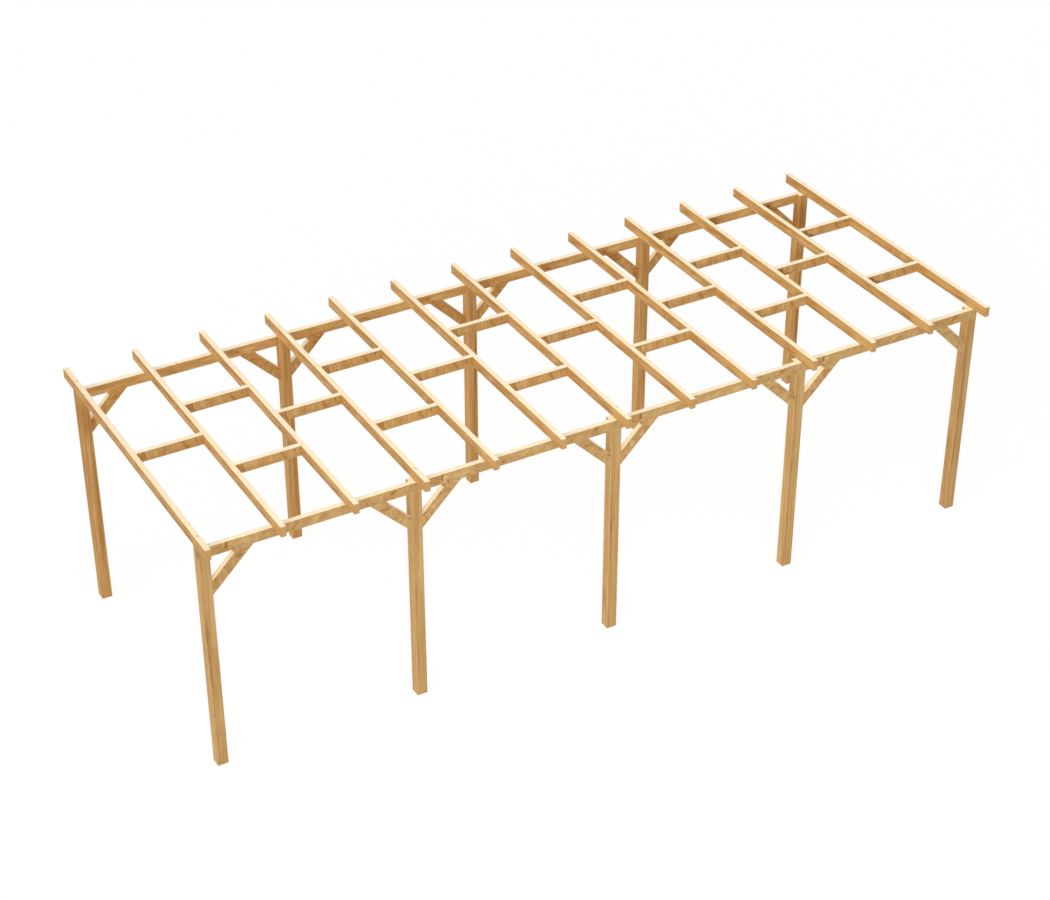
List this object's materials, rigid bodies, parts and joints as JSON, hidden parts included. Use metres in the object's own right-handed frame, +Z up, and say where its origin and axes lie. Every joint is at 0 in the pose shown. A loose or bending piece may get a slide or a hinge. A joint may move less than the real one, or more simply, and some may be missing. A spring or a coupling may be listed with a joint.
{
  "type": "free-standing wooden pergola frame",
  "caption": "Open rectangular timber frame of square posts, beams, knee braces, overhanging rafters and staggered noggins, for shade or a light roof.",
  "frame": {"origin": "on the ground, below the middle of the roof frame", "axes": "+X along the beams, from the end with one noggin between its first two rafters towards the end with two, +Y from the front line of posts, which has the short overhang, to the rear line, +Z up"},
  "size_m": [7.245, 2.955, 2.16],
  "materials": {
    "posts": "planed softwood, honey brown, straight grain",
    "beams": "planed softwood, honey brown, figured grain with knots",
    "braces": "planed softwood, honey brown",
    "rafters": "planed softwood, honey brown",
    "noggins": "planed softwood, honey brown, with knots",
    "screws": "zinc-plated steel screw heads, satin"
  },
  "bodies": {
    "root": {"front_post_1": "posts", "front_post_2": "posts", "front_post_3": "posts", "front_post_4": "posts", "front_post_5": "posts", "rear_post_1": "posts", "rear_post_2": "posts", "rear_post_3": "posts", "rear_post_4": "posts", "rear_post_5": "posts", "front_beam_1": "beams", "front_beam_2": "beams", "front_beam_3": "beams", "front_beam_4": "beams", "rear_beam_1": "beams", "rear_beam_2": "beams", "rear_beam_3": "beams", "rear_beam_4": "beams", "front_braces_1": "braces", "front_braces_2": "braces", "front_braces_3": "braces", "front_braces_4": "braces", "front_braces_5": "braces", "rear_braces_1": "braces", "rear_braces_2": "braces", "rear_braces_3": "braces", "rear_braces_4": "braces", "rear_braces_5": "braces", "rafter_01": "rafters", "rafter_02": "rafters", "rafter_03": "rafters", "rafter_04": "rafters", "rafter_05": "rafters", "rafter_06": "rafters", "rafter_07": "rafters", "rafter_08": "rafters", "rafter_09": "rafters", "rafter_10": "rafters", "rafter_11": "rafters", "rafter_12": "rafters", "rafter_13": "rafters", "noggins_front_row": "noggins", "noggins_middle_row": "noggins", "noggins_rear_row": "noggins"}
  },
  "joints": []
}
